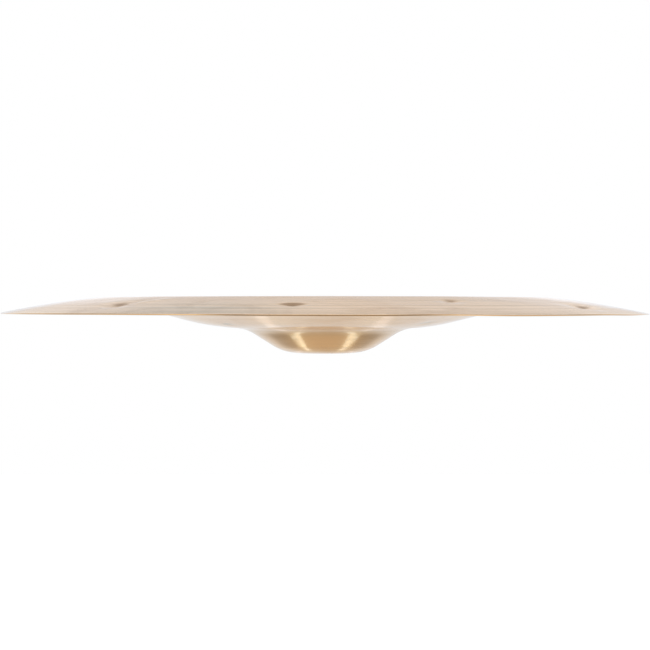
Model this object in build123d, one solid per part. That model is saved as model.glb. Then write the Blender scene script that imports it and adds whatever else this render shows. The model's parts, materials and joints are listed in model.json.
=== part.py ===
from build123d import *
import os
from math import asin, cos, degrees, radians, sin, tan

# Hammered bronze cymbal with a reversed rim flange, lying on its bell.
# One disc of sheet: flat-topped bell, bow, rounded ridge, and a flange that turns back towards the bell.
# The frame has its origin at the centre of the hole, on the outer face of the bell, with +Z towards the rim.
# Lengths are in millimetres and angles in degrees.

# Disc
cymbal_diameter = 457.2
rim_thickness = 0.75
rim_rounding = 0.2

# Bell: the flat seat that felt washers bear on, a conical wall and the foot where it runs into the bow
hole_diameter = 12.0
hole_rounding = 0.2
bell_thickness = 1.15
seat_diameter = 38.4
shoulder_radius = 36.0
wall_angle = 32.5
bell_diameter = 116.0
foot_radius = 29.5

# Bow: leaves the foot of the bell nearly level, curves up and runs straight to the ridge
bow_start_angle = 3.6
bow_curve_radius = 148.0
bow_angle = 14.0

# Ridge and flange
flange_width = 66.0
ridge_radius = 43.0
flange_start_angle = 7.2
flange_rim_angle = 12.4

# Hammer dents pressed into the flange from its upper face.
# Each one has its direction round the disc and how far its centre is in from the rim.
dent_diameter = 18.0
dent_depth = 1.0
dents = (
    (8.0, 33.0),
    (36.0, 29.0),
    (69.5, 35.0),
    (97.0, 31.0),
    (131.0, 36.0),
    (158.5, 30.0),
    (190.0, 34.0),
    (231.0, 31.0),
    (264.6, 29.5),
    (293.2, 43.5),
    (321.4, 27.5),
    (346.0, 37.0),
)


def sheet_thickness(radius):
    """Full thickness over the bell, thinning evenly from its foot to the rim."""
    bell_radius = bell_diameter / 2
    share = (radius - bell_radius) / (cymbal_diameter / 2 - bell_radius)
    share = min(max(share, 0.0), 1.0)
    return bell_thickness + (rim_thickness - bell_thickness) * share


class Stretch:
    """One stretch of the outer face's outline: a straight run, or an arc if the two slopes differ."""

    def __init__(self, start, start_slope, end_slope, end_radius):
        self.start = start
        self.start_slope = start_slope
        self.end_slope = end_slope
        self.end_radius = end_radius

    def slope_at(self, radius):
        """Slope in degrees. The sine of the slope changes evenly along an arc's run."""
        share = (radius - self.start[0]) / (self.end_radius - self.start[0])
        low, high = sin(radians(self.start_slope)), sin(radians(self.end_slope))
        return degrees(asin(low + (high - low) * share))

    def point_at(self, radius):
        """Point on the outer face: the chord to it has the mean of the slopes at its two ends."""
        slope = radians((self.start_slope + self.slope_at(radius)) / 2)
        run = radius - self.start[0]
        return (radius, self.start[1] + run * tan(slope))

    def inner_point_at(self, radius):
        """Point on the inner face, one sheet thickness away, square to the outer face."""
        slope = radians(self.slope_at(radius))
        x, z = self.point_at(radius)
        thickness = sheet_thickness(radius)
        return (x - thickness * sin(slope), z + thickness * cos(slope))

    def edge(self, point_at, end_radius=None):
        """This stretch, or its run up to end_radius, as an edge through the points that point_at gives."""
        end_radius = end_radius or self.end_radius
        middle_radius = (self.start[0] + end_radius) / 2
        first, last = point_at(self.start[0]), point_at(end_radius)
        if self.start_slope == self.end_slope:
            return Line(first, last)
        return ThreePointArc(first, point_at(middle_radius), last)


def arc_run(radius, start_slope, end_slope):
    """How far out an arc of this radius reaches while it turns from one slope to the other."""
    return radius * abs(sin(radians(end_slope)) - sin(radians(start_slope)))


def outline():
    """The outer face's stretches in order, from the hole to the rim."""
    bell_radius = bell_diameter / 2
    ridge_top_radius = cymbal_diameter / 2 - flange_width
    foot_run = arc_run(foot_radius, wall_angle, bow_start_angle)
    shoulder_end = seat_diameter / 2 + arc_run(shoulder_radius, 0, wall_angle)
    foot_end = bell_radius + foot_run / 2
    bow_curve_end = foot_end + arc_run(bow_curve_radius, bow_start_angle, bow_angle)
    ridge_start = ridge_top_radius - arc_run(ridge_radius, 0, bow_angle)
    ridge_end = ridge_top_radius + arc_run(ridge_radius, 0, flange_start_angle)
    plan = (
        (0, 0, seat_diameter / 2),
        (0, wall_angle, shoulder_end),
        (wall_angle, wall_angle, foot_end - foot_run),
        (wall_angle, bow_start_angle, foot_end),
        (bow_start_angle, bow_angle, bow_curve_end),
        (bow_angle, bow_angle, ridge_start),
        (bow_angle, -flange_start_angle, ridge_end),
        (-flange_start_angle, -flange_rim_angle, cymbal_diameter / 2),
    )
    stretches = []
    point = (hole_diameter / 2, 0)
    for start_slope, end_slope, end_radius in plan:
        stretch = Stretch(point, start_slope, end_slope, end_radius)
        stretches.append(stretch)
        point = stretch.point_at(end_radius)
    return stretches


def sheet_section(stretches):
    """Half section of the sheet. The rim is turned true, so its edge is upright, and all corners are rounded."""
    first, last = stretches[0], stretches[-1]
    hole_radius, rim_radius = first.start[0], last.end_radius
    inner_rim_radius = rim_radius - rim_thickness * sin(radians(flange_rim_angle))
    outer = [s.edge(s.point_at) for s in stretches]
    inner = [s.edge(s.inner_point_at) for s in stretches[:-1]]
    inner.append(last.edge(last.inner_point_at, inner_rim_radius))
    hole_edge = Line(first.point_at(hole_radius), first.inner_point_at(hole_radius))
    rim_edge = Line(last.point_at(rim_radius), last.inner_point_at(inner_rim_radius))
    section = make_face(Curve() + outer + inner + [hole_edge, rim_edge])
    section = fillet(section.vertices().sort_by(Axis.X)[-2:], rim_rounding)
    section = fillet(section.vertices().sort_by(Axis.X)[:2], hole_rounding)
    return Plane.XZ * section


def dent_frame(flange, angle, inset):
    """Location at a dent's centre on the flange's upper face, with its Z axis pointing out of the face."""
    radius = cymbal_diameter / 2 - inset
    slope = radians(flange.slope_at(radius))
    x, z = flange.inner_point_at(radius)
    tangent = Plane(origin=(x, 0, z), x_dir=(0, 1, 0), z_dir=(-sin(slope), 0, cos(slope)))
    return Rot(0, 0, angle) * tangent.location


def dented(sheet, flange):
    """The sheet with every dent pressed in: hollow on the upper face, with an equal bulge on the lower one."""
    half_width = dent_diameter / 2
    hollow_radius = (half_width**2 + dent_depth**2) / (2 * dent_depth)
    bulges, hollows = [], []
    for angle, inset in dents:
        thickness = sheet_thickness(cymbal_diameter / 2 - inset)
        frame = dent_frame(flange, angle, inset)
        centre = frame * Pos(0, 0, hollow_radius - dent_depth)
        middle_of_sheet = frame * Pos(0, 0, -thickness / 2)
        depth = dent_depth + thickness
        below = Box(2 * dent_diameter, 2 * dent_diameter, depth, align=(Align.CENTER, Align.CENTER, Align.MAX))
        bulges.append((centre * Sphere(hollow_radius + thickness)) & (middle_of_sheet * below))
        hollows.append(centre * Sphere(hollow_radius))
    return sheet + bulges - hollows


def cymbal():
    """The whole disc."""
    stretches = outline()
    sheet = revolve(sheet_section(stretches), Axis.Z, 360)
    return dented(sheet, stretches[-1])


os.makedirs("parts", exist_ok=True)
disc = cymbal()
export_step(disc, "parts/cymbal.step")
print("cymbal", disc.bounding_box().size, "volume", round(disc.volume), "solids", len(disc.solids()))
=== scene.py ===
"""Looks of a hand-hammered bronze cymbal with a reversed rim flange, hanging in a white studio.

The disc is one closed sheet. Its section is a loop of points that runs out along the lower face, round the
rim's edge, back along the upper face and down through the hole. The loop is carried round the axis. Every
point of it is pushed along the sheet's normal by the lathe's rings, slow waves and the hammer's blows, and
then lifted by the rim's warp. Lengths are in metres, and angles in degrees where nothing else is said.
"""

import json
import logging
import math
from dataclasses import dataclass, field
from enum import Enum
from functools import reduce

import bpy
import numpy as np
from mathutils import Matrix, Vector
from numpy.typing import NDArray


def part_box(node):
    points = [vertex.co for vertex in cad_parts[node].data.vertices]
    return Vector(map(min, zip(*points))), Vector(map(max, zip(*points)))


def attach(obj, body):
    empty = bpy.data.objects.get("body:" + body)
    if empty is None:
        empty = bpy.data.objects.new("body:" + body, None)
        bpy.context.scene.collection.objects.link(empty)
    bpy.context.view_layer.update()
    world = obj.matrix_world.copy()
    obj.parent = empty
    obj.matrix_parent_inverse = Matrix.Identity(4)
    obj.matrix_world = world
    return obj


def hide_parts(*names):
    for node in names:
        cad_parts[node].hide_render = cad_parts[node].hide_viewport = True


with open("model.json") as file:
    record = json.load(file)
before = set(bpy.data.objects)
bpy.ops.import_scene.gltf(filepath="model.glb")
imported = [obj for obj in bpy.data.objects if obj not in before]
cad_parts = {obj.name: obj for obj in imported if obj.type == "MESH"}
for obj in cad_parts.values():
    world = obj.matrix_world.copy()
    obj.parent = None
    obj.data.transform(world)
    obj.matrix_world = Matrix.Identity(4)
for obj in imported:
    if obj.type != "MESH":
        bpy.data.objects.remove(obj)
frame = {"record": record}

Floats = NDArray[np.float64]
Socket = bpy.types.NodeSocket
Operand = Socket | float
Inputs = dict[str | int, object]
Colour = tuple[float, float, float]

MM = 0.001
NODE = "cymbal"
LOG = logging.getLogger("cymbal")


class Ray(Enum):
    """Kinds of ray that an object can be hidden from."""

    CAMERA = "visible_camera"
    GLOSSY = "visible_glossy"
    SHADOW = "visible_shadow"


def hide_from(obj: bpy.types.Object, *rays: Ray) -> None:
    """Hides an object from some kinds of ray, which then pass it by."""
    for ray in rays:
        setattr(obj, ray.value, False)


def smooth_step(values: Floats, low: float, high: float) -> Floats:
    """Eases from 0 at low to 1 at high: three times the share's square less twice its cube."""
    share = np.clip((values - low) / (high - low), 0.0, 1.0)
    return share * share * (3.0 - 2.0 * share)


def bell_curve(values: Floats, middle: float, spread: float) -> Floats:
    """A bell curve of height 1: the exponential of minus the squared distance in spreads."""
    return np.exp(-(((values - middle) / spread) ** 2))


def turn_between(angles: Floats, centre: float) -> Floats:
    """Signed turn in degrees from a direction to each angle, from -180 up to 180."""
    return (angles - centre + 180.0) % 360.0 - 180.0


def spread_by_weight(positions: Floats, weights: Floats, steps: int) -> Floats:
    """Places steps + 1 values over a range, closest together where the weight is largest.

    The weight is added up along the range, and the values stand at equal shares of that sum.

    Args:
        positions: Rising sample positions that cover the range.
        weights: How closely the values should stand at each sample.
        steps: How many gaps the range is divided into.

    Returns:
        The placed values, the two ends of the range included.
    """
    gaps = np.diff(positions) * (weights[1:] + weights[:-1]) / 2.0
    total = np.concatenate(([0.0], np.cumsum(gaps)))
    return np.interp(np.linspace(0.0, total[-1], steps + 1), total, positions)


# The section of the sheet


@dataclass(frozen=True)
class Stretch:
    """One stretch of the lower face's outline, a straight run or an arc.

    Along an arc the sine of the slope changes evenly with the radius, so the chord from its start to a
    point has the mean of the slopes at its two ends.
    """

    start_radius: float
    start_height: float
    start_slope: float
    end_slope: float
    end_radius: float

    def slope(self, radius: Floats) -> Floats:
        """Slope in radians at each radius: the arcsine of the evenly changing sine."""
        share = (radius - self.start_radius) / (self.end_radius - self.start_radius)
        low, high = math.sin(math.radians(self.start_slope)), math.sin(math.radians(self.end_slope))
        return np.arcsin(low + (high - low) * share)

    def height(self, radius: Floats) -> Floats:
        """Height at each radius: the start's, plus the run times the tangent of the mean slope."""
        mean_slope = (math.radians(self.start_slope) + self.slope(radius)) / 2.0
        return self.start_height + (radius - self.start_radius) * np.tan(mean_slope)


@dataclass(frozen=True)
class SheetSection:
    """The disc's half section: bell, bow, ridge and flange, and how thick the sheet is."""

    rim_radius: float
    hole_radius: float
    seat_radius: float = 19.2 * MM
    shoulder_radius: float = 36.0 * MM
    wall_angle: float = 32.5
    bell_radius: float = 58.0 * MM
    foot_radius: float = 29.5 * MM
    bow_start_angle: float = 3.6
    bow_curve_radius: float = 148.0 * MM
    bow_angle: float = 14.0
    flange_width: float = 66.0 * MM
    ridge_radius: float = 43.0 * MM
    flange_start_angle: float = 7.2
    flange_rim_angle: float = 12.4
    bell_thickness: float = 1.15 * MM
    rim_thickness: float = 0.75 * MM
    corner_radius: float = 0.2 * MM

    @staticmethod
    def arc_run(radius: float, start_slope: float, end_slope: float) -> float:
        """How far out an arc reaches: its radius times the change of the slope's sine."""
        return radius * abs(math.sin(math.radians(end_slope)) - math.sin(math.radians(start_slope)))

    @property
    def ridge_top(self) -> float:
        """Radius of the ridge's highest ring."""
        return self.rim_radius - self.flange_width

    def stretches(self) -> list[Stretch]:
        """Works out where each stretch of the lower face starts and ends.

        Returns:
            The stretches in order, from the hole to the rim.
        """
        foot_run = self.arc_run(self.foot_radius, self.wall_angle, self.bow_start_angle)
        shoulder_run = self.arc_run(self.shoulder_radius, 0.0, self.wall_angle)
        foot_end = self.bell_radius + foot_run / 2.0
        bow_curve_run = self.arc_run(self.bow_curve_radius, self.bow_start_angle, self.bow_angle)
        ridge_start = self.ridge_top - self.arc_run(self.ridge_radius, 0.0, self.bow_angle)
        ridge_end = self.ridge_top + self.arc_run(self.ridge_radius, 0.0, self.flange_start_angle)
        plan = (
            (0.0, 0.0, self.seat_radius),
            (0.0, self.wall_angle, self.seat_radius + shoulder_run),
            (self.wall_angle, self.wall_angle, foot_end - foot_run),
            (self.wall_angle, self.bow_start_angle, foot_end),
            (self.bow_start_angle, self.bow_angle, foot_end + bow_curve_run),
            (self.bow_angle, self.bow_angle, ridge_start),
            (self.bow_angle, -self.flange_start_angle, ridge_end),
            (-self.flange_start_angle, -self.flange_rim_angle, self.rim_radius),
        )
        stretches, radius, height = [], self.hole_radius, 0.0
        for start_slope, end_slope, end_radius in plan:
            stretch = Stretch(radius, height, start_slope, end_slope, end_radius)
            stretches.append(stretch)
            radius, height = end_radius, float(stretch.height(np.array(end_radius)))
        return stretches

    def face(self, radius: Floats) -> tuple[Floats, Floats]:
        """Outline of the lower face, stretch by stretch.

        Args:
            radius: Where to evaluate it, from the hole to the rim.

        Returns:
            The height, and the slope in radians, at each radius.
        """
        height, slope = np.zeros_like(radius), np.zeros_like(radius)
        for stretch in self.stretches():
            here = (radius >= stretch.start_radius) & (radius <= stretch.end_radius)
            inside = np.where(here, radius, stretch.start_radius)
            height = np.where(here, stretch.height(inside), height)
            slope = np.where(here, stretch.slope(inside), slope)
        return height, slope

    def thickness(self, radius: Floats) -> Floats:
        """Full over the bell, thinning evenly from its foot to the rim."""
        share = np.clip((radius - self.bell_radius) / (self.rim_radius - self.bell_radius), 0.0, 1.0)
        return self.bell_thickness + (self.rim_thickness - self.bell_thickness) * share


@dataclass(frozen=True)
class SectionLoop:
    """A closed loop of points round the sheet's half section.

    Each point has its place, the sheet radius at which hammering acts on it, the sheet's normal there and
    its share of the loop's length. One more share closes the loop.
    """

    radius: Floats
    height: Floats
    sheet_radius: Floats
    normal_radius: Floats
    normal_height: Floats
    length_share: Floats


@dataclass(frozen=True)
class LoopMaker:
    """Divides the half section into the points of a closed loop.

    The weights say how much closer together a face's points stand than on the plain bow.
    """

    section: SheetSection
    face_steps: int = 102
    edge_steps: int = 3
    corner_steps: int = 3
    samples: int = 4001
    flange_weight: float = 1.9
    flange_lead: float = 14.0 * MM
    curve_weight: float = 1.3
    foot_spread: float = 14.0 * MM
    shoulder_middle: float = 28.0 * MM
    shoulder_spread: float = 12.0 * MM
    end_weight: float = 9.0
    end_spread: float = 1.4 * MM
    closing_from: float = 6.0 * MM
    closing_to: float = 1.0 * MM

    def face_radii(self) -> Floats:
        """Places one face's points, closest together over the flange, where it curves and at its ends.

        Returns:
            Their radii, from the hole's rounded corner to the rim's.
        """
        section = self.section
        inside = section.hole_radius + section.corner_radius
        outside = section.rim_radius - section.corner_radius
        radii = np.linspace(inside, outside, self.samples)
        flange = smooth_step(radii, section.ridge_top - self.flange_lead, section.ridge_top)
        weight = 1.0 + self.flange_weight * flange
        weight += self.curve_weight * bell_curve(radii, section.bell_radius, self.foot_spread)
        weight += self.curve_weight * bell_curve(radii, self.shoulder_middle, self.shoulder_spread)
        for end in (outside, inside):
            weight += self.end_weight * bell_curve(radii, end, self.end_spread)
        return spread_by_weight(radii, weight, self.face_steps)

    def end_edge(self, radius: float, direction: float) -> tuple[Floats, Floats]:
        """Upright end of the sheet with both corners rounded, from the lower face to the upper one.

        Args:
            radius: Radius of the upright wall.
            direction: 1 where the wall looks outwards and -1 where it looks at the axis.

        Returns:
            The radius, and the height above the lower face's end, of each point.
        """
        corner = self.section.corner_radius
        thickness = float(self.section.thickness(np.array(radius)))
        turn = np.linspace(0.0, np.pi / 2.0, self.corner_steps + 1)[1:]
        low_out = radius - direction * corner * (1.0 - np.sin(turn))
        low_up = corner * (1.0 - np.cos(turn))
        wall = np.linspace(corner, thickness - corner, self.edge_steps + 1)[1:-1]
        out = np.concatenate((low_out, np.full(wall.shape, radius), low_out[::-1]))
        return out, np.concatenate((low_up, wall, thickness - low_up[::-1]))

    def loop(self) -> SectionLoop:
        """The whole loop: lower face outwards, rim's edge, upper face inwards, hole's edge.

        On the faces the thickness stands square to the slope. At the rim the wall is upright, and the upper
        face closes in on it over the last few millimetres.

        Returns:
            The loop's points.
        """
        section = self.section
        rim = section.rim_radius
        radii = self.face_radii()
        rim_out, rim_up = self.end_edge(rim, 1.0)
        hole_out, hole_up = self.end_edge(section.hole_radius, -1.0)
        carrier = np.concatenate((radii, rim_out, radii[::-1], hole_out))
        carrier = np.clip(carrier, section.hole_radius, rim)
        height, slope = section.face(carrier)
        up = np.concatenate((np.zeros_like(radii), rim_up, section.thickness(radii[::-1]), hole_up[::-1]))
        plain = np.zeros_like(radii)
        on_rim = np.concatenate((plain, np.ones_like(rim_out), plain, np.zeros_like(hole_out)))
        closing = smooth_step(carrier, rim - self.closing_from, rim - self.closing_to)
        lean = slope * (1.0 - np.maximum(closing, on_rim))
        across = carrier - up * np.sin(lean)
        upwards = height + up * np.cos(lean)
        gaps = np.hypot(np.diff(across, append=across[0]), np.diff(upwards, append=upwards[0]))
        run = np.concatenate(([0.0], np.cumsum(gaps)))
        return SectionLoop(across, upwards, carrier, -np.sin(slope), np.cos(slope), run / run[-1])


# What the hammer and the lathe did to the sheet


@dataclass(frozen=True)
class Grid:
    """Directions round the disc and sheet radii.

    A displacement along the sheet's normal has one row for each direction and one column for each radius. It
    is negative for down.
    """

    angles: Floats
    radii: Floats

    def level(self) -> Floats:
        """No displacement at any point."""
        return np.zeros((len(self.angles), len(self.radii)))

    def arc_from(self, angle: float, radius: float) -> Floats:
        """Signed length round the disc from one direction to each, at one radius."""
        return np.radians(turn_between(self.angles, angle)) * radius


@dataclass(frozen=True)
class HammerRow:
    """A ring of shallow, overlapping hammer marks.

    Each mark is a round hollow: its depth times the square of one less the squared distance from its centre,
    measured in mark radii.
    """

    radius: float
    count: int
    mark_radius: float
    depth: float
    unevenness: float = 0.5
    offset_spread: float = 0.6
    depth_shares: tuple[float, float] = (0.35, 1.0)
    size_shares: tuple[float, float] = (0.75, 1.2)

    def press(self, grid: Grid, dice: np.random.Generator) -> Floats:
        """Presses this row's marks.

        Args:
            grid: Where to evaluate them.
            dice: Where the marks' unevenness comes from.

        Returns:
            The displacement.
        """
        step = 360.0 / self.count
        centres = (np.arange(self.count) + dice.uniform(-0.5, 0.5, self.count) * self.unevenness) * step
        spread = self.mark_radius * self.unevenness * self.offset_spread
        offsets = self.radius + dice.normal(0.0, spread, self.count)
        depths = self.depth * dice.uniform(*self.depth_shares, self.count)
        sizes = self.mark_radius * dice.uniform(*self.size_shares, self.count)
        pushed = grid.level()
        for centre, offset, depth, size in zip(centres, offsets, depths, sizes):
            across = grid.arc_from(centre, offset) / size
            along = (grid.radii - offset) / size
            near = np.clip(1.0 - across[:, None] ** 2 - along[None, :] ** 2, 0.0, None)
            pushed -= depth * near**2
        return pushed


@dataclass(frozen=True)
class Dent:
    """A deep hammer blow from above, or from below where its depth is negative.

    The hollow is its depth times one less the distance from its deepest point, to the power of lip. The
    distance is in half widths, inner lengths and outer lengths, and rounding keeps it off zero. A blow that
    leaned outwards has a long inner wall and a short, steep outer one. A high lip makes a soft, wide edge.
    """

    angle: float
    inset: float
    depth: float = 1.3 * MM
    half_width: float = 10.0 * MM
    inner_length: float = 9.0 * MM
    outer_length: float = 5.5 * MM
    lip: float = 1.2
    rounding: float = 0.01

    def press(self, grid: Grid, rim_radius: float) -> Floats:
        """Presses this blow.

        Args:
            grid: Where to evaluate it.
            rim_radius: The radius that the inset is measured from.

        Returns:
            The displacement.
        """
        centre = rim_radius - self.inset
        across = (grid.arc_from(self.angle, centre) / self.half_width)[:, None]
        run = grid.radii - centre
        along = np.where(run < 0.0, run / self.inner_length, run / self.outer_length)[None, :]
        away = np.sqrt(across**2 + along**2 + self.rounding)
        return -self.depth * np.clip(1.0 - away, 0.0, None) ** self.lip


@dataclass(frozen=True)
class Fold:
    """A low, soft fold from one point of the sheet to another: raised where its height is positive.

    Across, it is its height times the square of one less the squared distance in half widths. Along, it is
    half a sine wave.
    """

    angle: float
    inset: float
    end_angle: float
    end_inset: float
    height: float
    half_width: float

    def press(self, grid: Grid, rim_radius: float) -> Floats:
        """Presses or raises this fold.

        Args:
            grid: Where to evaluate it.
            rim_radius: The radius that the insets are measured from.

        Returns:
            The displacement.
        """
        middle = rim_radius - (self.inset + self.end_inset) / 2.0
        across = grid.arc_from(self.angle, middle)[:, None]
        along = (grid.radii - (rim_radius - self.inset))[None, :]
        run = np.array((math.radians(self.end_angle - self.angle) * middle, self.inset - self.end_inset))
        length = float(np.hypot(*run))
        share = np.clip((across * run[0] + along * run[1]) / length**2, 0.0, 1.0)
        aside = np.abs(across * run[1] - along * run[0]) / length / self.half_width
        return self.height * np.clip(1.0 - aside**2, 0.0, None) ** 2 * np.sin(np.pi * share)


@dataclass(frozen=True)
class LatheRings:
    """Broad rings that the lathe's tool left: a sum of sines of the radius with about equal slopes.

    Each ring wanders a little off centre round the disc, as the tool was held by hand.
    """

    shortest: float = 4.5 * MM
    longest: float = 17.0 * MM
    count: int = 11
    slope: float = 0.0055
    least_share: float = 0.5
    wander: float = 0.5
    third_wander: float = 0.3

    def press(self, grid: Grid, dice: np.random.Generator) -> Floats:
        """Turns the rings: the sum of their sines, each with its own length and phase.

        Args:
            grid: Where to evaluate them.
            dice: Where the phases and heights come from.

        Returns:
            The displacement.
        """
        around = np.radians(grid.angles)
        pushed = grid.level()
        for length in np.geomspace(self.shortest, self.longest, self.count):
            phase, lean, start = dice.uniform(0.0, 2.0 * np.pi, 3)
            height = self.slope * length / (2.0 * np.pi) * dice.uniform(self.least_share, 1.0)
            off_centre = self.wander * np.sin(around + start) + self.third_wander * np.sin(3 * around + lean)
            turn = 2.0 * np.pi * grid.radii[None, :] / length + phase
            pushed += height * np.sin(turn + off_centre[:, None])
        return pushed


@dataclass(frozen=True)
class Waviness:
    """Slow waves round the disc, left by hand hammering: sines of the direction that fade towards the bell.

    The higher the order, the lower its wave. The stiff ridge waves least.
    """

    first_order: int = 7
    last_order: int = 22
    height: float = 0.1 * MM
    least_share: float = 0.2
    drift: float = 14.0
    ridge_stiffness: float = 0.8
    ridge_spread: float = 16.0 * MM

    def press(self, grid: Grid, section: SheetSection, dice: np.random.Generator) -> Floats:
        """Lays the waves: each order's sine, with a phase that drifts along the radius.

        Args:
            grid: Where to evaluate them.
            section: Where the bell, the ridge and the rim lie.
            dice: Where the phases, drifts and heights come from.

        Returns:
            The displacement.
        """
        ridge = bell_curve(grid.radii, section.ridge_top, self.ridge_spread)
        fade = smooth_step(grid.radii, section.bell_radius, section.ridge_top)
        fade = fade * (1.0 - self.ridge_stiffness * ridge)
        pushed = grid.level()
        for order in range(self.first_order, self.last_order + 1):
            phase, drift = dice.uniform(0.0, 2.0 * np.pi), dice.normal(0.0, self.drift)
            height = self.height * dice.uniform(self.least_share, 1.0) * self.first_order / order
            turn = order * np.radians(grid.angles)[:, None] + phase
            turn = turn + drift * grid.radii[None, :] / section.rim_radius
            pushed += height * np.sin(turn) * fade[None, :]
        return pushed


@dataclass(frozen=True)
class RimWarp:
    """How the rim rises and falls: two low sines of the direction that fade in from the ridge outwards."""

    lean_height: float = 0.35 * MM
    lean_angle: float = 205.0
    twist_height: float = 0.18 * MM
    twist_angle: float = 20.0
    lead: float = 20.0 * MM

    def rise(self, grid: Grid, section: SheetSection) -> Floats:
        """Warps the rim: once and twice round the disc, each with its own highest direction.

        Args:
            grid: Where to evaluate it.
            section: Where the ridge and the rim lie.

        Returns:
            The height added at each point, straight up.
        """
        once = self.lean_height * np.cos(np.radians(grid.angles - self.lean_angle))
        twice = self.twist_height * np.cos(2.0 * np.radians(grid.angles - self.twist_angle))
        fade = smooth_step(grid.radii, section.ridge_top - self.lead, section.rim_radius)
        return (once + twice)[:, None] * fade[None, :]


@dataclass(frozen=True)
class Hammering:
    """Everything that pushes the sheet out of its turned shape."""

    section: SheetSection
    dents: tuple[Dent, ...]
    folds: tuple[Fold, ...]
    rows: tuple[HammerRow, ...]
    rings: LatheRings = field(default_factory=LatheRings)
    waves: Waviness = field(default_factory=Waviness)
    warp: RimWarp = field(default_factory=RimWarp)
    rings_from: float = 20.0 * MM
    rings_full: float = 32.0 * MM
    crowding: float = 2.6
    crowded_turn: float = 3.4
    seed: int = 18

    def push(self, grid: Grid) -> Floats:
        """Adds up the rings, the waves and every blow. The bell's flat has no rings.

        Args:
            grid: Where to evaluate them.

        Returns:
            The displacement.
        """
        dice = np.random.default_rng(self.seed)
        turned = smooth_step(grid.radii, self.rings_from, self.rings_full)[None, :]
        total = self.rings.press(grid, dice) * turned
        total += self.waves.press(grid, self.section, dice)
        for row in self.rows:
            total += row.press(grid, dice)
        for blow in (*self.dents, *self.folds):
            total += blow.press(grid, self.section.rim_radius)
        return total

    def direction_weight(self, angles: Floats) -> Floats:
        """How closely columns should stand: 1, and up to 1 plus the crowding across each deep blow."""
        weight = np.ones_like(angles)
        for dent in self.dents:
            near = np.exp(-((turn_between(angles, dent.angle) / self.crowded_turn) ** 4))
            weight = np.maximum(weight, 1.0 + self.crowding * near)
        return weight


# Finish


@dataclass(frozen=True)
class PaintedShade:
    """A soft patch of painted shade on one face of the sheet, longest round the disc."""

    angle: float
    radius: float
    half_angle: float
    half_width: float
    amount: float
    upper: bool = True

    def cover(self, grid: Grid) -> Floats:
        """How much painted shade each point gets: the amount times a bell curve in both directions."""
        around = bell_curve(turn_between(grid.angles, self.angle), 0.0, self.half_angle)
        return self.amount * around[:, None] * bell_curve(grid.radii, self.radius, self.half_width)[None, :]


@dataclass(frozen=True)
class Span:
    """A change from start to end while a measure goes from low to high, eased at both ends or straight."""

    low: float
    high: float
    start: float
    end: float
    eased: bool = True


@dataclass(frozen=True)
class Grain:
    """A noise pattern: how fine it is, and how much detail, contrast and swirl it has."""

    scale: float
    detail: float
    roughness: float
    swirl: float = 0.0


class Over(Enum):
    """What a noise pattern varies over: the noise's dimensions and the input that takes the measure."""

    NUMBER = ("1D", "W")
    PLACE = ("3D", "Vector")


@dataclass(frozen=True)
class NodeTree:
    """Short ways to add shader nodes, each linked to the ones before it."""

    tree: bpy.types.NodeTree

    def add(self, kind: str, inputs: Inputs | None = None, **settings: object) -> bpy.types.Node:
        """Adds a node.

        Args:
            kind: The node's type.
            inputs: What its inputs get, by name or number: an output to link, or a value.
            settings: Its properties, by name.

        Returns:
            The node.
        """
        node = self.tree.nodes.new(kind)
        for name, value in settings.items():
            setattr(node, name, value)
        for name, value in (inputs or {}).items():
            if isinstance(value, Socket):
                self.tree.links.new(value, node.inputs[name])
            else:
                node.inputs[name].default_value = value
        return node

    def math(self, operation: str, first: Operand, second: Operand = 0.0) -> Socket:
        """The result of a Math node, whose operands are sockets or numbers."""
        return self.add("ShaderNodeMath", {0: first, 1: second}, operation=operation).outputs[0]

    def total(self, *terms: Operand) -> Socket:
        """The sum of all the terms, added in order."""
        return reduce(lambda so_far, term: self.math("ADD", so_far, term), terms)

    def product(self, *factors: Operand) -> Socket:
        """The product of all the factors, multiplied in order."""
        return reduce(lambda so_far, factor: self.math("MULTIPLY", so_far, factor), factors)

    def remap(self, measure: Socket, span: Span) -> Socket:
        """Carries out a change.

        Args:
            measure: What the change depends on.
            span: Where it lies, and from what to what it goes.

        Returns:
            The result, held within the span.
        """
        ends = {"From Min": span.low, "From Max": span.high, "To Min": span.start, "To Max": span.end}
        kind = "SMOOTHSTEP" if span.eased else "LINEAR"
        inputs = {"Value": measure, **ends}
        return self.add("ShaderNodeMapRange", inputs, interpolation_type=kind).outputs["Result"]

    def noise(self, grain: Grain, measure: Socket, over: Over = Over.NUMBER) -> Socket:
        """Lays a noise pattern.

        Args:
            grain: How it looks.
            measure: The number or place that it varies over.
            over: Which of the two that is.

        Returns:
            Its value, about 0.5 on the whole.
        """
        dimensions, entry = over.value
        inputs = {
            entry: measure,
            "Scale": grain.scale,
            "Detail": grain.detail,
            "Roughness": grain.roughness,
            "Distortion": grain.swirl,
        }
        return self.add("ShaderNodeTexNoise", inputs, noise_dimensions=dimensions).outputs["Fac"]

    def mix_colour(self, share: Socket, first: Socket | Colour, second: Colour) -> Socket:
        """Mixes two colours.

        Args:
            share: How much of the second colour there is.
            first: A colour, or a socket that gives one.
            second: The other colour.

        Returns:
            The mixed colour.
        """
        start = first if isinstance(first, Socket) else (*first, 1.0)
        node = self.add("ShaderNodeMix", {"Factor": share, 6: start, 7: (*second, 1.0)}, data_type="RGBA")
        return node.outputs[2]

    def ramp(self, position: Socket, stops: list[tuple[float, Colour]]) -> Socket:
        """Looks a colour up.

        Args:
            position: Where to look it up, from 0 to 1.
            stops: Pairs of position and colour, in order.

        Returns:
            The colour.
        """
        ramp = self.add("ShaderNodeValToRGB", {"Fac": position})
        elements = ramp.color_ramp.elements
        for place, _ in stops[1:-1]:
            elements.new(place)
        for element, (place, colour) in zip(elements, stops):
            element.position = place
            element.color = (*colour, 1.0)
        return ramp.outputs["Color"]


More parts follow.
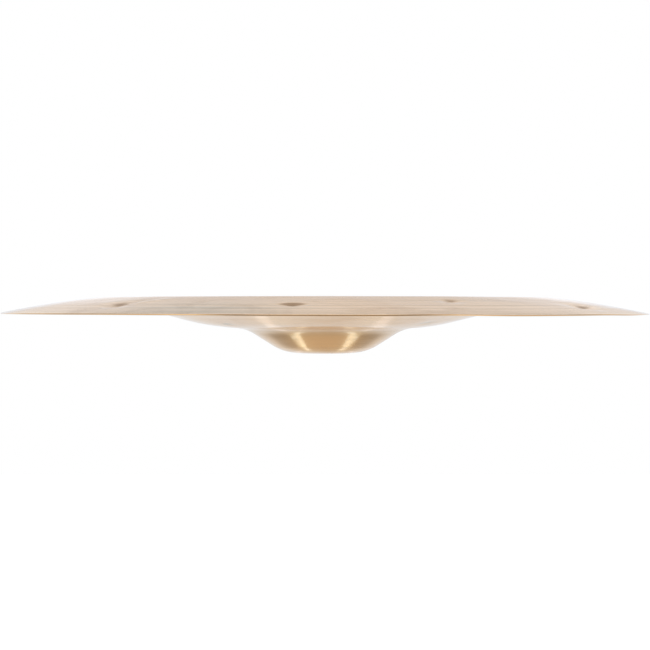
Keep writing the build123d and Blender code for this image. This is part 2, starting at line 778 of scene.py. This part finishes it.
@dataclass(frozen=True)
class Ground:
    """What the patterns lie on: nodes, Object coordinates, distance from the axis, and the section."""

    nodes: NodeTree
    place: Socket
    radius: Socket
    section: SheetSection


@dataclass(frozen=True)
class BronzeFinish:
    """Bell bronze, turned on a lathe and hammered, with the grooves running round the disc."""

    bright: Colour = (0.93, 0.61, 0.32)
    toned: Colour = (0.86, 0.53, 0.26)
    # colour that the painted shade darkens the metal towards
    painted_shade_colour: Colour = (0.50, 0.385, 0.235)
    roughness: float = 0.2
    anisotropy: float = 0.89
    anisotropy_turn: float = 0.25
    lacquer: float = 0.65
    lacquer_roughness: float = 0.08

    fine_rings: Grain = Grain(620.0, 4.0, 0.65)
    fine_share: float = 0.35
    broad_rings: Grain = Grain(110.0, 3.0, 0.6)
    broad_share: float = 0.65
    ring_tone: Span = Span(0.36, 0.66, 0.0, 0.16, eased=False)
    clouds: Grain = Grain(11.0, 4.0, 0.55, 0.4)
    cloud_tone: Span = Span(0.42, 0.75, 0.0, 0.35)
    felt_tone: float = 0.3
    felt_fade: float = 3.0 * MM
    foot_inset: float = 3.5 * MM
    # painted shade in the crease round the bell's foot
    foot_painted_shade: Span = Span(0.0, 11.0 * MM, 0.30, 0.0)
    # streaks the patches of painted shade along the broad rings
    shade_streaks: Span = Span(0.38, 0.6, 0.35, 1.25, eased=False)

    gloss_rings: Grain = Grain(210.0, 3.0, 0.6)
    gloss_ring_change: Span = Span(0.3, 0.7, -0.05, 0.05, eased=False)
    gloss_patches: Grain = Grain(26.0, 5.0, 0.6, 0.6)
    gloss_patch_change: Span = Span(0.5, 0.72, 0.0, 0.08, eased=False)
    worn_from: float = 2.5 * MM
    worn_full: float = 0.4 * MM
    worn_change: float = -0.1

    groove_grain: Grain = Grain(1.0 / (0.9 * MM), 2.0, 0.6)
    groove_depth: float = 0.0015 * MM
    off_true_grain: Grain = Grain(9.0, 2.0, 0.5)
    off_true: float = 0.8 * MM

    def material(self, section: SheetSection) -> bpy.types.Material:
        """Builds the material.

        Args:
            section: Where the bell, the seat and the rim lie.

        Returns:
            The material, which reads Object coordinates and the disc's own map and attribute.
        """
        material = bpy.data.materials.new("turned_bronze")
        material.use_nodes = True
        nodes = NodeTree(material.node_tree)
        material.node_tree.nodes.clear()
        place = nodes.add("ShaderNodeTexCoord").outputs["Object"]
        flat = nodes.add("ShaderNodeVectorMath", {0: place, 1: (1.0, 1.0, 0.0)}, operation="MULTIPLY")
        length = nodes.add("ShaderNodeVectorMath", {0: flat.outputs[0]}, operation="LENGTH")
        ground = Ground(nodes, place, length.outputs["Value"], section)
        tangent = nodes.add("ShaderNodeTangent", direction_type="UV_MAP", uv_map="turning")
        shader = nodes.add("ShaderNodeBsdfPrincipled", {
            "Base Color": self.colour(ground),
            "Metallic": 1.0,
            "Roughness": self.gloss(ground),
            "Normal": self.grooves(ground),
            "Tangent": tangent.outputs["Tangent"],
            "Anisotropic": self.anisotropy,
            "Anisotropic Rotation": self.anisotropy_turn,
            "Coat Weight": self.lacquer,
            "Coat Roughness": self.lacquer_roughness,
        })
        nodes.add("ShaderNodeOutputMaterial", {"Surface": shader.outputs["BSDF"]})
        return material

    def colour(self, ground: Ground) -> Socket:
        """Bright bronze that darkens in fine rings, in faint clouds and under the felt washers.

        Painted shade darkens it further: patches where the flange's lathe bands and the bow's hammer marks
        look shaded, and a ring in the crease round the bell's foot.

        Args:
            ground: What the patterns lie on.

        Returns:
            The colour.
        """
        nodes, radius = ground.nodes, ground.radius
        seat, foot = ground.section.seat_radius, ground.section.bell_radius - self.foot_inset
        fine = nodes.noise(self.fine_rings, radius)
        broad = nodes.noise(self.broad_rings, radius)
        clouds = nodes.noise(self.clouds, ground.place, Over.PLACE)
        rings = nodes.total(nodes.product(fine, self.fine_share), nodes.product(broad, self.broad_share))
        tone = nodes.total(
            nodes.remap(rings, self.ring_tone),
            nodes.remap(clouds, self.cloud_tone),
            nodes.remap(radius, Span(seat - self.felt_fade, seat, self.felt_tone, 0.0)),
        )
        metal = nodes.mix_colour(nodes.math("MINIMUM", tone, 1.0), self.bright, self.toned)
        from_foot = nodes.math("ABSOLUTE", nodes.math("SUBTRACT", radius, foot))
        # painted shade: the disc's per-point share of darkened patches, streaked along the rings
        painted_shades = nodes.add("ShaderNodeAttribute", attribute_type="GEOMETRY", attribute_name="painted_shade")
        streaked_shade = nodes.product(painted_shades.outputs["Fac"], nodes.remap(broad, self.shade_streaks))
        # painted shade: the streaked patches plus the ring in the crease round the bell's foot
        shade_share = nodes.total(streaked_shade, nodes.remap(from_foot, self.foot_painted_shade))
        return nodes.mix_colour(nodes.math("MINIMUM", shade_share, 1.0), metal, self.painted_shade_colour)

    def gloss(self, ground: Ground) -> Socket:
        """The lathe's roughness, changed in rings, in patches and along the worn rim.

        Args:
            ground: What the patterns lie on.

        Returns:
            The roughness.
        """
        nodes, rim = ground.nodes, ground.section.rim_radius
        rings = nodes.noise(self.gloss_rings, ground.radius)
        patches = nodes.noise(self.gloss_patches, ground.place, Over.PLACE)
        worn = Span(rim - self.worn_from, rim - self.worn_full, 0.0, self.worn_change, eased=False)
        return nodes.total(
            nodes.remap(rings, self.gloss_ring_change),
            nodes.remap(patches, self.gloss_patch_change),
            nodes.remap(ground.radius, worn),
            self.roughness,
        )

    def grooves(self, ground: Ground) -> Socket:
        """Fine turned grooves: noise along the radius, a little off true, used as a height.

        Args:
            ground: What the grooves lie on.

        Returns:
            The bumped normal.
        """
        nodes = ground.nodes
        shift = nodes.product(nodes.noise(self.off_true_grain, ground.place, Over.PLACE), self.off_true)
        height = nodes.noise(self.groove_grain, nodes.total(ground.radius, shift))
        inputs = {"Strength": 1.0, "Distance": self.groove_depth, "Height": height}
        return nodes.add("ShaderNodeBump", inputs).outputs["Normal"]


# The disc


@dataclass(frozen=True)
class HammeredDisc:
    """The visible cymbal: a closed sheet on a grid of directions and section points."""

    section: SheetSection
    hammering: Hammering
    painted_shades: tuple[PaintedShade, ...]
    finish: BronzeFinish
    columns: int = 420
    samples: int = 7201

    def directions(self) -> Floats:
        """Directions of the grid's columns in degrees, closest together across the dents."""
        angles = np.linspace(0.0, 360.0, self.samples)
        return spread_by_weight(angles, self.hammering.direction_weight(angles), self.columns)[:-1]

    def points(self, grid: Grid, loop: SectionLoop) -> Floats:
        """Carries the section round the axis.

        Each point of it is pushed along its normal, lifted by the rim's warp and turned to its direction.

        Args:
            grid: The directions, and the loop's sheet radii.
            loop: The section.

        Returns:
            Every point, as an array of columns by loop points by three.
        """
        push = self.hammering.push(grid)
        rise = self.hammering.warp.rise(grid, self.section)
        radius = loop.radius[None, :] + push * loop.normal_radius[None, :]
        height = loop.height[None, :] + push * loop.normal_height[None, :] + rise
        turn = np.radians(grid.angles)[:, None]
        return np.stack((radius * np.cos(turn), radius * np.sin(turn), height), axis=2)

    @staticmethod
    def faces(columns: int, rows: int) -> NDArray[np.int32]:
        """Quads between neighbouring columns and loop points, both of which close on themselves.

        Args:
            columns: How many directions there are.
            rows: How many points the loop has.

        Returns:
            The four corners of every quad.
        """
        column = np.arange(columns)[:, None]
        row = np.arange(rows)[None, :]
        beside, above = (column + 1) % columns, (row + 1) % rows
        corners = (column * rows + row, column * rows + above, beside * rows + above, beside * rows + row)
        return np.stack(corners, axis=2).reshape(-1, 4).astype(np.int32)

    @staticmethod
    def map_corners(angles: Floats, loop: SectionLoop) -> Floats:
        """The map that the grain follows: the turn round the disc and the share of the loop.

        Args:
            angles: The grid's directions.
            loop: The section.

        Returns:
            The map's two coordinates at every quad's corners, one after the other.
        """
        turns = np.append(angles, 360.0 + angles[0]) / 360.0
        shares = loop.length_share
        low_turn, low_share = np.meshgrid(turns[:-1], shares[:-1], indexing="ij")
        high_turn, high_share = np.meshgrid(turns[1:], shares[1:], indexing="ij")
        u = np.stack((low_turn, low_turn, high_turn, high_turn), axis=2)
        v = np.stack((low_share, high_share, high_share, low_share), axis=2)
        return np.stack((u, v), axis=3).reshape(-1)

    def painted_shade_cover(self, grid: Grid) -> Floats:
        """Adds up the patches of painted shade on each face of the sheet. The loop's second half is the
        upper face.

        Args:
            grid: The directions, and the loop's sheet radii.

        Returns:
            How much painted shade each point gets.
        """
        row = np.arange(len(grid.radii))
        upper = (row > len(row) / 2.0)[None, :]
        cover = grid.level()
        for painted_shade in self.painted_shades:
            cover += painted_shade.cover(grid) * (upper == painted_shade.upper)
        return cover.reshape(-1)

    def build(self) -> bpy.types.Object:
        """Makes the disc's object, with its map and material."""
        loop = LoopMaker(self.section).loop()
        grid = Grid(self.directions(), loop.sheet_radius)
        points = self.points(grid, loop)
        faces = self.faces(points.shape[0], points.shape[1])
        turning = self.map_corners(grid.angles, loop).astype(np.float32)
        cover = self.painted_shade_cover(grid).astype(np.float32)
        mesh = bpy.data.meshes.new("hammered_disc")
        mesh.from_pydata(points.reshape(-1, 3), [], faces)
        mesh.uv_layers.new(name="turning").data.foreach_set("uv", turning)
        # per-point share of painted shade, which the material reads
        mesh.attributes.new("painted_shade", "FLOAT", "POINT").data.foreach_set("value", cover)
        mesh.polygons.foreach_set("use_smooth", np.ones(len(faces), bool))
        mesh.update()
        mesh.validate()
        mesh.materials.append(self.finish.material(self.section))
        disc = bpy.data.objects.new("hammered_disc", mesh)
        bpy.context.scene.collection.objects.link(disc)
        LOG.info("hammered_disc: %d quads", len(faces))
        return disc


# The studio


@dataclass(frozen=True)
class SoftBox:
    """A flat soft light that looks at the disc, with an even brightness over its face.

    Its power is its brightness times its area times pi. Its long side lies along a given direction.
    """

    name: str
    place: tuple[float, float, float]
    size: tuple[float, float]
    brightness: float
    long_side: tuple[float, float, float]
    colour: Colour = (1.0, 1.0, 1.0)

    def build(self, target: Vector) -> None:
        """Makes the light, hidden from the camera.

        Args:
            target: The point that the light looks at.
        """
        data = bpy.data.lights.new(self.name, "AREA")
        data.shape = "RECTANGLE"
        data.size, data.size_y = self.size
        data.energy = self.brightness * self.size[0] * self.size[1] * math.pi
        data.color = self.colour
        back = (Vector(self.place) - target).normalized()
        side = Vector(self.long_side).cross(back).normalized()
        turn = Matrix((side, back.cross(side), back)).transposed().to_4x4()
        lamp = bpy.data.objects.new(self.name, data)
        lamp.matrix_world = Matrix.Translation(self.place) @ turn
        bpy.context.scene.collection.objects.link(lamp)
        hide_from(lamp, Ray.CAMERA)
        LOG.info("%s: %.2f W", self.name, data.energy)


@dataclass(frozen=True)
class Direction:
    """The world's nodes, and a ray's direction: its parts to either side, away from the camera and up."""

    nodes: NodeTree
    aside: Socket
    away: Socket
    up: Socket


@dataclass(frozen=True)
class Surround:
    """What the metal mirrors: a room that changes with height, with depth and towards the sides.

    Heights in by_height are elevations. All other places are parts of a direction, so a depth of -1 is
    straight behind the camera. Behind the disc the bands of by_height come down at the sides in an arch.
    Near the horizon the room is dark behind the camera and bright beside it, and high on that side it is
    lifted. Far out the sides are a little darker. Two dark panels stand low at the sides, and a glow lies
    just above the horizon, a little to either side of the middle.
    """

    by_height: tuple[tuple[float, Colour], ...] = (
        (-90.0, (0.55, 0.475, 0.39)),
        (-65.0, (0.64, 0.57, 0.47)),
        (-48.0, (0.62, 0.57, 0.49)),
        (-27.0, (0.81, 0.825, 0.84)),
        (-12.0, (0.80, 0.81, 0.82)),
        (0.0, (0.84, 0.89, 0.95)),
        (8.0, (0.82, 0.86, 0.92)),
        (15.0, (0.73, 0.71, 0.71)),
        (18.0, (0.79, 0.76, 0.73)),
        (21.0, (0.92, 0.89, 0.85)),
        (26.0, (1.05, 1.01, 0.97)),
        (28.8, (0.76, 0.73, 0.70)),
        (32.5, (0.36, 0.34, 0.34)),
        (40.0, (0.28, 0.26, 0.26)),
        (60.0, (0.34, 0.34, 0.34)),
        (90.0, (0.42, 0.42, 0.42)),
    )
    by_depth: tuple[tuple[float, float], ...] = (
        (-1.0, 0.24), (-0.85, 0.26), (-0.71, 1.40), (-0.3, 1.25), (0.1, 1.0), (1.0, 1.0),
    )
    whole: Span = Span(-1.0, 1.0, 0.0, 1.0, eased=False)
    arch: float = 2.7
    arch_sides: Span = Span(0.30, 0.45, 1.0, 0.0)
    arch_foot: Span = Span(0.02, 0.15, 0.0, 1.0)
    arch_back: Span = Span(0.3, 0.6, 0.0, 1.0)
    near_horizon: Span = Span(0.3, 0.5, 1.0, 0.0)
    front_lift: Span = Span(-0.3, 0.1, 0.9, 0.0)
    front_foot: Span = Span(0.42, 0.56, 0.0, 1.0)
    far_sides: Span = Span(0.74, 0.84, 1.0, 0.78)
    panel_edge: Span = Span(0.20, 0.34, 0.0, 0.47)
    panel_low: Span = Span(-0.62, -0.50, 0.5, 0.0)
    panel_high: Span = Span(-0.25, -0.10, 0.5, 0.0)
    glow_inside: Span = Span(0.06, 0.14, 0.0, 0.28)
    glow_outside: Span = Span(0.17, 0.25, 1.0, 0.0)
    glow_top: Span = Span(0.12, 0.22, 1.0, 0.0)
    glow_foot: Span = Span(-0.05, 0.05, 0.0, 1.0)

    def colour(self, direction: Direction) -> Socket:
        """The walls' colour. In the arch, the squared part to the side times arch is added to the height.

        Args:
            direction: Where the ray goes.

        Returns:
            The colour.
        """
        nodes = direction.nodes
        arch = nodes.product(
            nodes.math("POWER", direction.aside, 2.0),
            self.arch,
            nodes.remap(direction.aside, self.arch_sides),
            nodes.remap(direction.up, self.arch_foot),
            nodes.remap(direction.away, self.arch_back),
        )
        height = nodes.remap(nodes.total(direction.up, arch), self.whole)
        stops = [((math.sin(math.radians(angle)) + 1.0) / 2.0, colour) for angle, colour in self.by_height]
        return nodes.ramp(height, stops)

    def depth_level(self, direction: Direction) -> Socket:
        """How bright the room is from behind the camera to behind the disc.

        Args:
            direction: Where the ray goes.

        Returns:
            1, plus the change by depth near the horizon, plus the lift high on the camera's side.
        """
        nodes = direction.nodes
        stops = [((depth + 1.0) / 2.0, (level, level, level)) for depth, level in self.by_depth]
        by_depth = nodes.ramp(nodes.remap(direction.away, self.whole), stops)
        near_horizon = nodes.remap(nodes.math("ABSOLUTE", direction.up), self.near_horizon)
        change = nodes.product(nodes.math("SUBTRACT", by_depth, 1.0), near_horizon)
        front = nodes.remap(direction.away, self.front_lift)
        return nodes.total(change, 1.0, nodes.product(front, nodes.remap(direction.up, self.front_foot)))

    def side_level(self, direction: Direction) -> Socket:
        """What the two low panels take away at the sides, and what the glow above the horizon adds.

        Args:
            direction: Where the ray goes.

        Returns:
            The level, 1 where there is neither.
        """
        nodes, up = direction.nodes, direction.up
        below = nodes.total(nodes.remap(up, self.panel_low), nodes.remap(up, self.panel_high))
        panels = nodes.product(nodes.remap(direction.aside, self.panel_edge), below)
        glow = nodes.product(
            nodes.remap(direction.aside, self.glow_inside),
            nodes.remap(direction.aside, self.glow_outside),
            nodes.remap(up, self.glow_top),
            nodes.remap(up, self.glow_foot),
        )
        return nodes.total(nodes.math("SUBTRACT", 1.0, panels), glow)

    def build(self) -> None:
        """Makes the world: pure white to the camera, and the room to every other ray."""
        world = bpy.data.worlds.new("studio")
        bpy.context.scene.world = world
        world.use_nodes = True
        nodes = NodeTree(world.node_tree)
        world.node_tree.nodes.clear()
        coordinates = nodes.add("ShaderNodeTexCoord").outputs["Generated"]
        parts = nodes.add("ShaderNodeSeparateXYZ", {0: coordinates}).outputs
        direction = Direction(nodes, nodes.math("ABSOLUTE", parts["X"]), parts["Y"], parts["Z"])
        sides = nodes.remap(direction.aside, self.far_sides)
        level = nodes.product(self.depth_level(direction), sides, self.side_level(direction))
        room = nodes.add("ShaderNodeBackground", {"Color": self.colour(direction), "Strength": level})
        white = nodes.add("ShaderNodeBackground", {"Color": (1.0, 1.0, 1.0, 1.0)})
        to_camera = nodes.add("ShaderNodeLightPath").outputs["Is Camera Ray"]
        mix = nodes.add("ShaderNodeMixShader", {0: to_camera, 1: room.outputs[0], 2: white.outputs[0]})
        nodes.add("ShaderNodeOutputWorld", {"Surface": mix.outputs[0]})


@dataclass(frozen=True)
class FloorPaper:
    """Matt pale paper that glows a little, so that it stays pale under the disc."""

    colour: Colour = (0.9, 0.9, 0.9)
    glow: float = 0.62

    def material(self) -> bpy.types.Material:
        """Builds the material, the same all over."""
        material = bpy.data.materials.new("floor_paper")
        material.use_nodes = True
        nodes = NodeTree(material.node_tree)
        material.node_tree.nodes.clear()
        shader = nodes.add("ShaderNodeBsdfPrincipled", {
            "Base Color": (*self.colour, 1.0),
            "Roughness": 1.0,
            "Specular IOR Level": 0.0,
            "Emission Color": (1.0, 1.0, 1.0, 1.0),
            "Emission Strength": self.glow,
        })
        nodes.add("ShaderNodeOutputMaterial", {"Surface": shader.outputs["BSDF"]})
        return material


def strip_lights() -> tuple[SoftBox, ...]:
    """Low strips behind the disc: two on each side for the bell's streaks and one for the bow's."""
    left, right = (0.63, 1.155, 0.745), (-0.63, 1.155, 0.745)
    cool = (0.80, 1.0, 1.10)
    return (
        SoftBox("left_bell_strip", (-0.81, 1.32, -2.52), (0.32, 0.76), 1.0, left, cool),
        SoftBox("right_bell_strip", (0.78, 1.32, -2.52), (0.34, 0.76), 1.0, right, cool),
        SoftBox("left_low_strip", (-0.45, 1.90, -2.14), (0.13, 0.76), 0.88, left, cool),
        SoftBox("right_low_strip", (0.44, 1.90, -2.14), (0.15, 0.76), 0.88, right, cool),
        SoftBox("left_bow_strip", (-0.292, 2.73, -1.21), (0.06, 1.17), 0.27, (0.085, 0.177, 0.408)),
        SoftBox("right_bow_strip", (0.292, 2.73, -1.21), (0.06, 1.17), 0.27, (-0.085, 0.177, 0.408)),
    )


@dataclass(frozen=True)
class Studio:
    """White studio: camera, surround, floor and lights."""

    camera_distance: float = 0.959
    camera_height: float = 31.7 * MM
    aim_height: float = 20.1 * MM
    lens: float = 73.27
    sensor_width: float = 36.0
    clip: tuple[float, float] = (0.01, 100.0)
    floor_height: float = -1.6
    floor_size: float = 24.0
    paper: FloorPaper = field(default_factory=FloorPaper)
    surround: Surround = field(default_factory=Surround)
    top_box: SoftBox = SoftBox("top_box", (0.0, 0.0, 1.90), (0.90, 0.90), 1.4, (0.0, 1.0, 0.0))
    strips: tuple[SoftBox, ...] = field(default_factory=strip_lights)

    def build_camera(self) -> None:
        """Makes the camera, in front of the disc and just above its rim."""
        data = bpy.data.cameras.new("camera")
        data.lens = self.lens
        data.sensor_width = self.sensor_width
        data.clip_start, data.clip_end = self.clip
        camera = bpy.data.objects.new("camera", data)
        camera.location = (0.0, -self.camera_distance, self.camera_height)
        look = Vector((0.0, 0.0, self.aim_height)) - camera.location
        camera.rotation_euler = look.to_track_quat("-Z", "Y").to_euler()
        bpy.context.scene.collection.objects.link(camera)
        bpy.context.scene.camera = camera

    def build_floor(self) -> None:
        """Makes the pale floor, far below the disc. The metal doesn't mirror it, and light passes it."""
        half = self.floor_size / 2.0
        corners = [(-half, -half), (half, -half), (half, half), (-half, half)]
        mesh = bpy.data.meshes.new("floor")
        mesh.from_pydata([(x, y, self.floor_height) for x, y in corners], [], [(0, 1, 2, 3)])
        mesh.materials.append(self.paper.material())
        floor = bpy.data.objects.new("floor", mesh)
        bpy.context.scene.collection.objects.link(floor)
        hide_from(floor, Ray.GLOSSY, Ray.SHADOW)

    def build(self) -> None:
        """Makes the whole studio. White stays white, so the picture isn't tone mapped."""
        self.build_camera()
        self.surround.build()
        self.build_floor()
        target = Vector((0.0, 0.0, self.aim_height))
        for box in (self.top_box, *self.strips):
            box.build(target)
        bpy.context.scene.view_settings.view_transform = "Standard"


def hole_radius(record: dict) -> float:
    """Radius of the centre hole, from the record's mounts, in metres."""
    mounts = {mount["name"]: mount for mount in record["mounts"]}
    return mounts["centre_hole"]["dims"]["r_mm"] * MM


def flange_dents() -> tuple[Dent, ...]:
    """The twelve deep blows in the flange, at uneven distances round the disc."""
    return (
        Dent(8.0, 33.0 * MM),
        Dent(36.0, 29.0 * MM),
        Dent(69.5, 35.0 * MM),
        Dent(97.0, 31.0 * MM),
        Dent(131.0, 36.0 * MM),
        Dent(158.5, 30.0 * MM),
        Dent(190.0, 34.0 * MM),
        Dent(231.5, 27.5 * MM, 2.0 * MM, 21.0 * MM, 21.0 * MM, 19.0 * MM, 2.0),
        Dent(264.6, 27.5 * MM, 1.4 * MM, 11.5 * MM, 8.5 * MM, 5.0 * MM),
        Dent(293.8, 42.5 * MM, 1.3 * MM, 13.0 * MM, 12.0 * MM, 12.0 * MM, 1.8),
        Dent(322.2, 23.0 * MM, 1.95 * MM, 21.0 * MM, 20.0 * MM, 17.0 * MM, 2.0),
        Dent(346.0, 37.0 * MM),
    )


def bow_marks() -> tuple[Dent, ...]:
    """Two marks hammered into the bow from below, where its patches of painted shade lie."""
    return (
        Dent(221.6, 144.0 * MM, -0.5 * MM, 10.0 * MM, 9.0 * MM, 9.0 * MM, 2.0),
        Dent(320.0, 138.5 * MM, -0.7 * MM, 13.0 * MM, 12.0 * MM, 12.0 * MM, 2.0),
    )


def sheet_folds() -> tuple[Fold, ...]:
    """Low folds that run out of some of the flange's blows. The third one is a broad belly on the bow."""
    return (
        Fold(232.0, 18.0 * MM, 238.5, 56.0 * MM, 0.42 * MM, 6.0 * MM),
        Fold(320.5, 16.0 * MM, 320.0, 44.0 * MM, 0.12 * MM, 4.5 * MM),
        Fold(168.0, 130.0 * MM, 222.0, 130.0 * MM, -0.75 * MM, 26.0 * MM),
        Fold(62.0, 24.0 * MM, 70.0, 52.0 * MM, 0.12 * MM, 6.0 * MM),
        Fold(150.0, 22.0 * MM, 158.0, 54.0 * MM, 0.12 * MM, 6.0 * MM),
    )


def painted_shade_patches() -> tuple[PaintedShade, ...]:
    """Painted shade: streaky patches where the flange's lathe bands look shaded, and the shade of hammer
    marks on the bow's lower face.
    """
    return (
        PaintedShade(250.0, 213.0 * MM, 14.0, 16.0 * MM, 1.0),
        PaintedShade(44.0, 204.0 * MM, 10.0, 7.0 * MM, 0.35),
        PaintedShade(118.0, 210.0 * MM, 12.0, 7.0 * MM, 0.35),
        PaintedShade(176.0, 200.0 * MM, 9.0, 8.0 * MM, 0.3),
        # painted shade of the hammer marks on the bow's lower face
        PaintedShade(220.6, 87.5 * MM, 3.5, 3.5 * MM, 1.0, upper=False),
        PaintedShade(320.0, 91.5 * MM, 4.5, 3.5 * MM, 0.9, upper=False),
        PaintedShade(85.0, 110.0 * MM, 5.0, 4.0 * MM, 0.4, upper=False),
    )


def hammer_rows() -> tuple[HammerRow, ...]:
    """Rings of shallow marks over the bow and the flange."""
    return (
        HammerRow(74.0 * MM, 26, 9.0 * MM, 0.05 * MM),
        HammerRow(88.0 * MM, 31, 9.0 * MM, 0.06 * MM),
        HammerRow(102.0 * MM, 36, 9.5 * MM, 0.07 * MM),
        HammerRow(116.0 * MM, 40, 9.5 * MM, 0.07 * MM),
        HammerRow(130.0 * MM, 44, 9.5 * MM, 0.07 * MM),
        HammerRow(144.0 * MM, 48, 9.5 * MM, 0.06 * MM),
        HammerRow(178.0 * MM, 52, 10.0 * MM, 0.05 * MM),
        HammerRow(196.0 * MM, 54, 11.0 * MM, 0.06 * MM),
        HammerRow(212.0 * MM, 56, 9.0 * MM, 0.04 * MM),
    )


def main() -> None:
    """Builds the studio and the disc, hides the CAD node that the disc stands for, and attaches the disc to
    the root body.
    """
    logging.basicConfig(level=logging.INFO, format="%(name)s %(message)s")
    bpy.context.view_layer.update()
    Studio().build()
    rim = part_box(NODE)[1].x
    section = SheetSection(rim_radius=rim, hole_radius=hole_radius(frame["record"]))
    hammering = Hammering(section, flange_dents() + bow_marks(), sheet_folds(), hammer_rows())
    disc = HammeredDisc(section, hammering, painted_shade_patches(), BronzeFinish()).build()
    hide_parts(NODE)
    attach(disc, "root")


if __name__ == "__main__":
    main()
